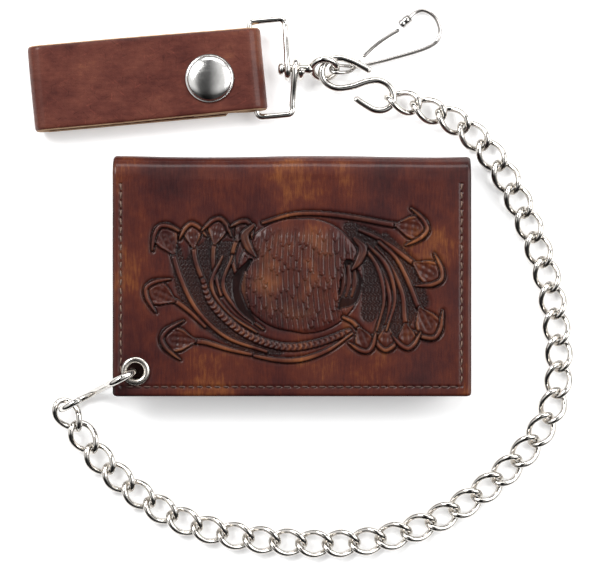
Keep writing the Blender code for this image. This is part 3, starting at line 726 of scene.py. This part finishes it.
def surface_relief(x, y, z, normal):
    """How far each point of the outer leather stands out, how dark it is from dye and painted shade, and how
    much painted highlight it gets.
    """
    flat_top = (normal[:, 2] > 0.999) & (z > 1)
    height, carved, edge = carve(x, y)
    near_fold = np.clip((27.0 - y) / 5.0, 0, 1)
    side = np.minimum(HALF_W - np.abs(x), np.where(flat_top, y - FREE_Y, 99.0))
    roll = np.clip(1 - side / 1.1, 0, 1) ** 2
    dip = np.where(flat_top, stitch_dip(x, y), 0.0)
    holes = np.where(flat_top, stitch_marks(x, y), 0.0)
    soft_fold = np.where((~flat_top) & (z > 6), 0.25 * np.sin(0.09 * x + 0.8), 0.0)
    eyelet_dent = np.exp(-((np.hypot(x - EYELET[0], y - EYELET[1]) - 4.6) / 0.8) ** 2) * flat_top
    lift = np.where(flat_top, height * near_fold, 0.0)
    lift = lift - 0.55 * roll - 0.22 * dip - 0.35 * holes - 0.18 * eyelet_dent
    lift = lift + grain_patch(x, y) * (z > 5) + soft_fold
    dye_and_shade = np.where(flat_top, np.clip(edge * near_fold, 0, 1), 0.0)
    # Darker where the edges roll down and in the stitch channel; painted shade in the needle holes.
    dye_and_shade = np.maximum(dye_and_shade, np.maximum(0.7 * roll, 0.35 * dip))
    dye_and_shade = np.maximum(dye_and_shade, holes)
    # Painted highlight along the top fold, brighter where it faces up.
    fold_highlight = np.where(~flat_top & (z > 5), 0.22 * np.clip(normal[:, 2] + 0.5, 0, 1), 0.0)
    painted_highlight = np.maximum(np.where(flat_top, carved * near_fold, 0.0), fold_highlight)
    return lift, dye_and_shade, painted_highlight


def leather_sheet(name, rows, columns):
    """A sheet of outer leather through the rows, with the carving on its flat top."""
    u = np.linspace(-1, 1, columns)
    u = u * (0.985 + 0.015 * np.abs(u) ** 6)
    path = np.array(rows)
    near_end = np.clip(CORNER_R - path[:, 4], 0, None)
    inset = CORNER_R - np.sqrt(CORNER_R ** 2 - near_end ** 2)
    grid = np.outer(HALF_W - inset, u)
    x, y, z = grid.ravel(), np.repeat(path[:, 0], columns), np.repeat(path[:, 1], columns)
    normal = np.insert(np.repeat(path[:, 2:4], columns, 0), 0, 0.0, 1)
    lift, dye_and_shade, painted_highlight = surface_relief(x, y, z, normal)
    verts = [tuple(p) for p in np.stack((x, y, z), 1) + normal * lift[:, None]]
    for (y0, z0, ny, nz, _), across in zip(rows, grid):
        for side_x in (across[0], across[-1]):
            verts.append((side_x, y0 - ny * LEATHER_T, z0 - nz * LEATHER_T))
    obj = mesh_object(name, verts, sheet_faces(len(rows), columns), MATS["cover"])
    set_values(obj, "dye_and_shade", np.append(dye_and_shade, np.full(2 * len(rows), INNER_DYE)))
    set_values(obj, "painted_highlight", np.append(painted_highlight, np.zeros(2 * len(rows))))
    return obj


def build_skin():
    """The outer leather: the carved cover, the top fold and the back, then the lower fold."""
    skin = leather_sheet("wallet_skin", skin_path(), SKIN_COLUMNS)
    punch(skin)
    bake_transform(skin)
    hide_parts("cover_leather", "back_leather")
    fold = leather_sheet("lower_fold", lower_fold_path(), LOWER_COLUMNS)
    place(fold, "back_half", ("back_leather",))


def punch(obj):
    """Cut the eyelet's hole through the cover and apply it."""
    pin = lathe(((0, 11), (HOLE_R, 11), (HOLE_R, 18), (0, 18)), EYELET, 32)
    tool = mesh_object("punch", *pin, MATS["plain"])
    cut = obj.modifiers.new("hole", "BOOLEAN")
    cut.operation = "DIFFERENCE"
    cut.solver = "EXACT"
    cut.object = tool
    graph = bpy.context.evaluated_depsgraph_get()
    obj.data = bpy.data.meshes.new_from_object(obj.evaluated_get(graph))
    obj.modifiers.clear()
    bpy.data.objects.remove(tool)


def stitch(a, b):
    """One stitch: a short plump thread that dips into the leather at both ends."""
    line = []
    for k in range(9):
        p = Vector(a).lerp(Vector(b), k / 8)
        arch = math.sin(math.pi * k / 8)
        p.z += STITCH_R * 0.9 * arch - STITCH_SINK * (1 - arch)
        line.append(p)
    return tube(line, STITCH_R, 8)


def stitch_run(name, path, z, mat, nodes):
    """Stitches of the cover at the usual pitch along a plan path."""
    verts, faces = [], []
    for (x0, y0), (x1, y1) in zip(path, path[1:]):
        count = max(1, round(math.hypot(x1 - x0, y1 - y0) / STITCH_PITCH))
        for k in range(count):
            f0, f1 = (k + 0.15) / count, (k + 0.85) / count
            slant = STITCH_SLANT if k % 2 else -STITCH_SLANT
            a = (x0 + (x1 - x0) * f0 + slant, y0 + (y1 - y0) * f0, z)
            b = (x0 + (x1 - x0) * f1 - slant, y0 + (y1 - y0) * f1, z)
            v, f = stitch(a, b)
            faces += [tuple(i + len(verts) for i in face) for face in f]
            verts += v
    piece(name, (verts, faces), mat, "cover", nodes)


def build_stitching():
    left, right, low, top = STITCH_LEFT, STITCH_RIGHT, STITCH_LOW, STITCH_TOP
    stitch_run("cover_stitches", [(left, top), (left, low + 12.2), (left, low + 1.4)], TOP_Z - 0.15,
               "thread", ["cover_stitching"])
    stitch_run("foot_stitches", [(left + 1.4, low), (right - 1.2, low)], TOP_Z - 0.22, "dark_thread", [])
    stitch_run("right_stitches", [(right, low + 1.0), (right, top)], TOP_Z - 0.15, "thread", [])


def edge_bevel(node, width_mm, segments=3):
    mod = node.modifiers.new("soft edge", "BEVEL")
    mod.width = width_mm * MM
    mod.segments = segments
    mod.limit_method = "ANGLE"


def carry(name, mat, bevel=0.3):
    """Keep a CAD node as it is, with a real material and softened edges."""
    node = frame["nodes"][name]
    node.data.materials.clear()
    node.data.materials.append(MATS[mat])
    edge_bevel(node, bevel)


def pocket_stack(name, body, low, high, layers, lips, axis_up):
    """Card pockets as separate stepped layers of leather inside the CAD solid's box."""
    thick = (high.z - low.z) / layers
    verts, faces = [], []
    for k in range(layers):
        z0 = low.z + thick * k + 0.04
        z1 = z0 + thick - 0.12
        y1 = high.y - lips * (k if axis_up else layers - 1 - k)
        faces += [tuple(i + len(verts) for i in face) for face in ring_faces(POCKET_STEPS + 1, 4)]
        for i in range(POCKET_STEPS + 1):
            f = i / POCKET_STEPS
            x = low.x + (high.x - low.x) * f
            y = y1 - 0.9 * math.sin(math.pi * f) ** 2
            verts += [(x, low.y, z0), (x, y, z0), (x, y, z1), (x, low.y, z1)]
    obj = mesh_object(name + "_layers", verts, faces, MATS["lining"], smooth=False)
    edge_bevel(obj, 0.12, 2)
    place(obj, body, [name])


def build_inside():
    pocket_stack("cover_pocket", "cover", pocket_low, pocket_high, 4, 6.0, False)
    pocket_stack("card_pocket", "back_half", *node_box("card_pocket"), 3, 7.0, True)
    carry("bill_divider", "lining", 0.1)
    carry("inner_flap", "plain", 0.35)
    carry("id_window", "film", 0.1)


def build_eyelet():
    profile = [(2.55, 12.3), (3.1, 12.3), (3.1, 14.98), (EYELET_R, 14.98), (EYELET_R, 15.15)]
    profile += [(3.55 + 0.98 * math.cos(a), 15.15 + 0.72 * math.sin(a)) for a in np.linspace(0.15, 2.9, 10)]
    profile += [(2.55, 15.1)]
    piece("eyelet_ring", lathe(profile, EYELET, 56), "old_nickel", "cover", ["eyelet"], sharp=38)
    carry("eyelet_washer", "old_nickel", 0.1)


# ---- chain and hooks

LINKS = 37
LINK_WIRE_R = 0.99
LINK_HALF_L = 5.33
LINK_HALF_W = 3.65
START_ROLLS = (16.0, 5.0)
END_ROLLS = (4.0, 12.0, 22.0, 34.0)
HOOK_R = 1.12
HARDWARE_Z = JOINTS["swivel_spin"]["pos_m"][2] / MM
HOOK_DIR = (-0.888, -0.460)
HOOK_BEND = (5.0, 13.8, 4.7)
HOOK_TAIL = ((10.2, 10.0), (12.6, 5.6), (16.4, 2.3), (20.4, 1.35), (24.0, 2.3), (26.2, 5.0),
             (26.6, 8.2), (25.2, 10.8), (22.4, 11.8), (19.4, 11.3))
LEASH_HOOK = ((25.1, 64.5), (21.6, 66.4), (18.4, 67.9), (14.5, 68.8), (10.8, 67.6), (9.3, 64.5),
              (10.3, 61.3), (13.5, 59.3), (18.5, 59.6), (23.8, 61.3), (27.5, 61.6), (30.6, 59.9),
              (32.0, 57.0), (31.6, 54.2), (29.3, 52.4), (26.2, 52.3), (22.9, 54.0), (19.6, 56.3))


def joint_point(name):
    return Vector(JOINTS[name]["pos_m"]) / MM


def link_line(centre, along, roll, stations=56):
    """Curb link: an oval of wire twisted a quarter turn from end to end."""
    side = Vector((0, 0, 1)).cross(along).normalized()
    up = along.cross(side)
    points = []
    for k in range(stations):
        t = 2 * math.pi * k / stations
        c, s = math.cos(t), math.sin(t)
        twist = math.pi / 4 * c + math.radians(roll)
        points.append(centre + along * (LINK_HALF_L * c) + side * (LINK_HALF_W * s * math.cos(twist))
                      + up * (LINK_HALF_W * s * math.sin(twist)))
    return points


def build_chain():
    marks = [joint_point("chain_joint_%02d" % (i + 1)) for i in range(LINKS)]
    marks.append(joint_point("leash_hook_swing"))
    rolls = [*START_ROLLS, *[0.0] * (LINKS - len(START_ROLLS) - len(END_ROLLS)), *END_ROLLS]
    for i in range(LINKS):
        name = "link_%02d" % (i + 1)
        low, high = node_box(name)
        centre = (low + high) / 2
        along = (marks[i + 1] - marks[i]).normalized()
        wire = tube(link_line(centre, along, rolls[i]), LINK_WIRE_R, 14, True)
        piece("curb_" + name, wire, "link_nickel", name, [name])


def build_hooks():
    u, z, r = HOOK_BEND
    plan = [(u - r, z - 2.4)]
    bend = [math.radians(a) for a in range(0, 181, 30)]
    plan += [(u - r * math.cos(a), z + r * math.sin(a)) for a in bend]
    plan += HOOK_TAIL
    line = [(EYELET[0] + HOOK_DIR[0] * a, EYELET[1] + HOOK_DIR[1] * a, b) for a, b in plan]
    piece("wallet_s_hook", tube(smooth_line(line, 7), HOOK_R, 18), "nickel", "wallet_hook", ["wallet_hook"])
    line = smooth_line([(x, y, HARDWARE_Z) for x, y in LEASH_HOOK], 7)
    piece("leash_s_hook", tube(line, HOOK_R, 18), "nickel", "leash_hook", ["leash_hook"])


# ---- swivel, ring and snap hook

EYE_CENTRE = (10.2, joint_point("swivel_spin").y)
EYE_R = 3.9
EYE_WIRE_R = 1.1
EYE_TILT = math.radians(45.0)
RING_WIRE_R = 1.0
RING_W = 11.3
RING_HALF_H = 15.1
RING_CORNER_R = 1.6
COIL_R = 2.8
COIL_X = (-1.4, 1.0, 3.2)
SNAP_R = 0.62
SNAP_Z = 1.3
SNAP_BOW = ((34.9, 79.9), (36.9, 81.6), (39.1, 83.5), (41.6, 84.2), (45.1, 82.2), (46.8, 78.2),
            (46.2, 74.8), (43.5, 72.7), (31.1, 68.8), (23.8, 67.0))
SNAP_LOOP_R = 1.9
GATE_START = (22.4, 69.2)
GATE_END = (34.0, 78.0)


def eye_point(angle, radius):
    c, s = math.cos(angle), math.sin(angle)
    return Vector((EYE_CENTRE[0] + radius * c, EYE_CENTRE[1] + radius * s * math.cos(EYE_TILT),
                   HARDWARE_Z + radius * s * math.sin(EYE_TILT)))


def build_swivel():
    loop = [eye_point(2 * math.pi * k / 64, EYE_R) for k in range(64)]
    piece("swivel_loop", tube(loop, EYE_WIRE_R, 18, True), "nickel", "swivel", ["swivel_eye"])
    profile = [(0, -4.5), (1.1, -4.42), (1.8, -4.1), (2.15, -3.6), (2.2, -3.1), (2.1, -2.85), (1.5, -2.8),
               (1.5, 4.2), (1.7, 5.0), (1.75, 5.6), (1.4, 6.4), (0, 6.6)]
    verts, faces = lathe(profile, (0, 0), 32)
    verts = [(z, EYE_CENTRE[1] + y, HARDWARE_Z + x) for x, y, z in verts]
    faces = [tuple(reversed(f)) for f in faces]
    piece("swivel_post", (verts, faces), "nickel", "swivel", [], sharp=38)


def coil_point(x, degrees):
    a = math.radians(degrees)
    return (x, EYE_CENTRE[1] + COIL_R * math.cos(a), HARDWARE_Z + COIL_R * math.sin(a))


def eased(a, b):
    """Four points between a and b, with the height eased at both ends."""
    points = []
    for f in (0.2, 0.4, 0.6, 0.8):
        p = a.lerp(b, f)
        p.z = a.z + (b.z - a.z) * (f * f * (3 - 2 * f))
        points.append(tuple(p))
    return points


def ring_line():
    """Wire of the ring: half a turn on the post, round the rectangle, a whole turn on the post."""
    bar = STRAP_HALF_L - STRAP_T - 0.4 - RING_WIRE_R
    side = bar + RING_W
    h, r = RING_HALF_H, RING_CORNER_R
    line = [coil_point(COIL_X[0], a) for a in range(-90, -271, -15)]
    upper = Vector(strap_point((h - 3.0, side, HARDWARE_Z + 0.3)))
    line += [*eased(Vector(line[-1]), upper), tuple(upper)]
    corners = ((side - r, h - r), (bar + r, h - r), (bar + r, r - h), (side - r, r - h))
    for quarter, (cu, cv) in enumerate(corners):
        for a in range(0, 91, 15):
            angle = math.radians(90 * quarter + a)
            line.append(strap_point((cv + r * math.sin(angle), cu + r * math.cos(angle), HARDWARE_Z)))
    lower = Vector(strap_point((3.0 - h, side, HARDWARE_Z + 0.3)))
    line += [tuple(lower), *eased(lower, Vector(coil_point(COIL_X[1], 90)))]
    for k in range(25):
        line.append(coil_point(COIL_X[1] + (COIL_X[2] - COIL_X[1]) * k / 24, 90 - 15 * k))
    return line


def build_ring():
    piece("wire_ring", tube(smooth_line(ring_line(), 2), RING_WIRE_R, 16), "nickel", "ring", ["ring"])


def snap_line():
    line = [(x, y, SNAP_Z + 0.6) if i < 2 else (x, y, SNAP_Z) for i, (x, y) in enumerate(SNAP_BOW)]
    line += [(20.5, 66.3, SNAP_Z), (17.6, 66.5, 1.9)]
    q = eye_point(0, EYE_R)
    w = Vector((0, math.cos(EYE_TILT), -math.sin(EYE_TILT)))
    for a in (75, 110, 145, 180, 215, 250, 285):
        angle = math.radians(a)
        line.append(tuple(q + SNAP_LOOP_R * (Vector((math.cos(angle), 0, 0)) + w * math.sin(angle))))
    line += [(16.6, 64.2, 5.0), (18.4, 64.7, 3.6), (20.0, 66.1, 2.75), (21.6, 68.3, 2.7)]
    return line


def build_snap_hook():
    line = snap_line()
    piece("snap_wire", tube(smooth_line(line, 8), SNAP_R, 14), "spring_nickel", "snap_hook", ["snap_hook"])
    a, b = Vector(line[0]), Vector(line[1])
    mid = a.lerp(b, 0.45)
    profile = [(0.7, -1.9), (1.25, -1.9), (1.42, -1.6), (1.45, -0.9), (1.28, -0.6), (1.28, -0.3), (1.45, 0.0),
               (1.45, 1.0), (1.28, 1.3), (1.42, 1.6), (1.25, 1.9), (0.7, 1.9)]
    verts, faces = lathe(profile, (0, 0), 32)
    turn = Vector((0, 0, 1)).rotation_difference((b - a).normalized())
    verts = [mid + turn @ Vector(v) for v in verts]
    piece("ferrule", (verts, faces), "spring_nickel", "snap_hook", ["snap_ferrule"], sharp=38)
    start, end = Vector((*GATE_START, 2.7)), Vector((*GATE_END, 1.9))
    bow = [start, start.lerp(end, 0.35) + Vector((-0.35, 0.45, -0.1)),
           start.lerp(end, 0.7) + Vector((-0.3, 0.4, 0)), end]
    piece("gate_wire", tube(smooth_line(bow, 8), SNAP_R, 14), "spring_nickel", "snap_gate", ["snap_gate"])


# ---- belt strap

STRAP_CENTRE = (-45.5, 62.0)
STRAP_ANGLE = math.radians(5.2)
STRAP_HALF_L = 36.8
STRAP_HALF_W = 13.2
STRAP_T = 2.0
STRAP_TOP = 9.2
FLAP_Z = (0.6, 2.4)
FLAP_END = 26.4
SNAP_U, SNAP_V = 19.6, -1.9
CAP_R = 7.65
EDGE_ROUND = 0.35
EDGE_STEPS = 5
STRAP_COLUMNS = 40
TURN_STEPS = 23
TAIL_END, TAIL_RISE, TAIL_RUN = 13.5, 5.0, 7.9


def strap_point(p):
    """From strap axes (across, along, up) to the shared frame."""
    across, along, z = p
    c, s = math.cos(STRAP_ANGLE), math.sin(STRAP_ANGLE)
    return (STRAP_CENTRE[0] + along * c - across * s, STRAP_CENTRE[1] + along * s + across * c, z)


def half_turn(along, z, r, start):
    """Half a turn of the leather about a point, from an angle in degrees."""
    turn = [math.radians(start + 180 * k / TURN_STEPS) for k in range(1, TURN_STEPS + 1)]
    return [(along + r * math.cos(a), z + r * math.sin(a), math.cos(a), math.sin(a)) for a in turn]


def strap_profile():
    """Centre line of the front leather: (along, z, normal along, normal z), tail first."""
    t, top, half = STRAP_T, STRAP_TOP, STRAP_HALF_L
    right = half - top / 2
    rows = []
    for along in np.linspace(TAIL_END, right - 0.3, 26):
        f = min(max((right - along) / TAIL_RUN, 0.0), 1.0)
        z = TAIL_RISE * f * f * (3 - 2 * f)
        slope = -TAIL_RISE * 6 * f * (1 - f) / TAIL_RUN
        length = math.hypot(1, slope)
        rows.append((along, z + t / 2, slope / length, -1 / length))
    rows += half_turn(right, top / 2, top / 2 - t / 2, 270)
    left_r = (top - FLAP_Z[0]) / 2
    left = -half + left_r
    for along in np.linspace(right - 0.5, left, 90)[1:]:
        rows.append((along, top - t / 2, 0.0, 1.0))
    rows += half_turn(left, top - left_r, left_r - t / 2, 90)
    return rows, left


def strap_ring():
    """Section of the leather: (side -1 to 1, share of the thickness, out past the flat side)."""
    half = [(-1 + 2 * k / STRAP_COLUMNS, 0.5, 0.0) for k in range(STRAP_COLUMNS + 1)]
    for k in range(1, EDGE_STEPS):
        a = math.pi / 2 - math.pi * k / EDGE_STEPS
        half.append((1.0, 0.5 * math.sin(a), EDGE_ROUND * math.cos(a)))
    return half + [(-s, -h, -out) for s, h, out in half]


def strap_sheet(name, rows, thick, width_at):
    """Leather of even thickness along a profile, with rounded edges and tan cut sides."""
    ring = strap_ring()
    verts, dye_and_shade, painted_highlight = [], [], []
    for along, z, na, nz in rows:
        w = width_at(along) - EDGE_ROUND
        turn = abs(na)
        for s, h, out in ring:
            wave = 0.12 * math.sin(along * 0.13 + 0.6) * math.sin(1.4 * s + 0.5)
            puff = -0.28 * max(0.0, (abs(s) - 0.93) / 0.07) ** 2 * (1 if h > 0.4 else 0)
            lift = h * thick + wave + puff
            verts.append(strap_point((s * w + out, along + na * lift, z + nz * lift)))
            # Darker along the side edges of the top face; a painted highlight where the leather turns round
            # its bends, stronger at the ring end.
            border = max(0.0, (abs(s) - 0.94) / 0.06)
            dye_and_shade.append(0.45 * border * (h > 0) * (1 - turn))
            painted_highlight.append(0.9 * math.sqrt(turn) * (0.6 + 0.4 * (along > 0)))
    obj = mesh_object(name, verts, ring_faces(len(rows), len(ring)), MATS["strap"])
    obj.data.materials.append(MATS["edge"])
    flat, half = STRAP_COLUMNS, len(ring) // 2
    is_edge = [int(k % half >= flat) for k in range(len(ring))] * (len(rows) - 1) + [1, 1]
    obj.data.polygons.foreach_set("material_index", is_edge)
    sharp_edges(obj, 50)
    set_values(obj, "dye_and_shade", dye_and_shade)
    set_values(obj, "painted_highlight", painted_highlight)
    return obj


def front_width(along):
    """The strap narrows a little towards the ring."""
    return STRAP_HALF_W + 0.25 - 0.5 * max(0.0, along + 10) / 46


def flap_width(along):
    """The flap's end corners are cut off."""
    return STRAP_HALF_W + 0.35 - max(0.0, along - (FLAP_END - 3))


def build_strap():
    rows, left = strap_profile()
    front = strap_sheet("strap_leather", rows, STRAP_T, front_width)
    place(front, "strap", ["strap_front"])
    low, high = FLAP_Z
    rows = [(along, (low + high) / 2, 0.0, -1.0) for along in np.linspace(left - 0.4, FLAP_END, 60)]
    flap = strap_sheet("flap_leather", rows, high - low, flap_width)
    place(flap, "strap_flap", ["strap_flap"])


def build_snap():
    centre = strap_point((SNAP_V, SNAP_U, 0))
    dome = [(0.0, 11.75)]
    dome += [(7.05 * math.sin(a), 9.95 + 1.8 * math.cos(a) ** 0.9) for a in np.linspace(0.08, 1.5, 22)]
    dome += [(7.25, 9.82), (7.5, 9.86), (CAP_R, 9.68), (CAP_R - 0.05, 9.42), (7.2, 9.26)]
    dome += [(1.7, 9.26), (1.7, 4.45), (0, 4.45)]
    piece("cap_dome", lathe(dome, centre, 72), "cap_nickel", "strap", ["snap_cap"], sharp=50)
    for name in ("snap_socket", "snap_stud", "snap_post"):
        carry(name, "old_nickel", 0.12)


# ---- studio and camera

FLOOR_SCALE = 0.3175        # millimetres of floor across one picture column
IMAGE_W = 590
CAMERA_H = 700.0
CAMERA_X, CAMERA_Y = 0.95, -3.8
TENT = (("X", ((0.0, 1.0), (0.25, 1.0), (0.35, 0.06), (0.48, 0.04), (0.62, 0.9), (1.0, 0.9))),
        ("Y", ((0.0, 0.06), (0.26, 0.06), (0.40, 1.0), (1.0, 1.0))),
        ("Z", ((0.50, 0.35), (0.54, 0.02), (0.62, 0.08), (0.68, 1.0), (1.0, 1.0))))
TENT_STRENGTH = 1.0
FLOOR_HALF = 1500
FLOOR_Z = -0.05
SENSOR_W = 36.0


def floor_material():
    n = Nodes("paper")
    fibre = n.noise(n.coords(), 900.0, 3.0)
    n.feed("Base Color", fibre, [(0.2, grey(0.93)), (0.8, grey(0.96))])
    n.feed("Roughness", fibre, [(0.2, grey(0.85)), (0.8, grey(0.95))])
    n.bump(fibre, 0.05, 0.0001)
    n.set(Emission_Color=(1.0, 1.0, 1.0, 1.0), Emission_Strength=0.24, Specular_IOR_Level=0.0)
    return n.mat


def area_light(name, place_mm, aim_mm, size, power, size_y=None):
    data = bpy.data.lights.new(name, "AREA")
    data.energy = power
    data.size = size
    if size_y:
        data.shape = "RECTANGLE"
        data.size_y = size_y
    lamp = bpy.data.objects.new(name, data)
    lamp.location = Vector(place_mm) * MM
    lamp.rotation_euler = (Vector(aim_mm) - Vector(place_mm)).to_track_quat("-Z", "Y").to_euler()
    bpy.context.collection.objects.link(lamp)


def build_world():
    """A light tent: bright cards to both sides, dark overhead where the camera is, dark in front."""
    world = bpy.data.worlds.new("studio")
    bpy.context.scene.world = world
    n = Nodes(world, "Background")
    shift = n.add("ShaderNodeMapping", Location=(0.5, 0.5, 0.5), Scale=(0.5, 0.5, 0.5))
    split = n.add("ShaderNodeSeparateXYZ")
    n.link(n.add("ShaderNodeTexCoord").outputs["Generated"], shift.inputs["Vector"])
    n.link(shift.outputs["Vector"], split.inputs[0])
    sides = [n.ramp(split.outputs[axis], [(at, grey(v)) for at, v in stops]) for axis, stops in TENT]
    colour = n.mix("MULTIPLY", 1.0, n.mix("MULTIPLY", 1.0, sides[0], sides[1]), sides[2])
    n.link(colour, n.shader.inputs["Color"])
    n.set(Strength=TENT_STRENGTH)


def build_studio():
    verts = [(x * FLOOR_HALF, y * FLOOR_HALF, FLOOR_Z) for x, y in ((-1, -1), (1, -1), (1, 1), (-1, 1))]
    floor = mesh_object("floor", verts, [(0, 1, 2, 3)], floor_material(), smooth=False)
    build_world()
    area_light("key", (-420, 380, 620), (0, 0, 0), 0.34, 5.0)
    area_light("fill", (520, 160, 520), (0, 0, 0), 0.5, 3.6)
    area_light("back", (60, 620, 420), (0, 20, 0), 0.6, 2.2, 0.2)


def build_camera():
    data = bpy.data.cameras.new("camera")
    data.sensor_width = SENSOR_W
    data.lens = SENSOR_W * CAMERA_H / (FLOOR_SCALE * IMAGE_W)
    data.clip_start, data.clip_end = 0.01, 20.0
    camera = bpy.data.objects.new("camera", data)
    camera.location = Vector((CAMERA_X, CAMERA_Y, CAMERA_H)) * MM
    bpy.context.collection.objects.link(camera)
    bpy.context.scene.camera = camera
    bpy.context.scene.view_settings.view_transform = "Standard"


build_skin()
build_stitching()
build_inside()
build_eyelet()
build_chain()
build_hooks()
build_swivel()
build_ring()
build_snap_hook()
build_strap()
build_snap()
build_studio()
build_camera()
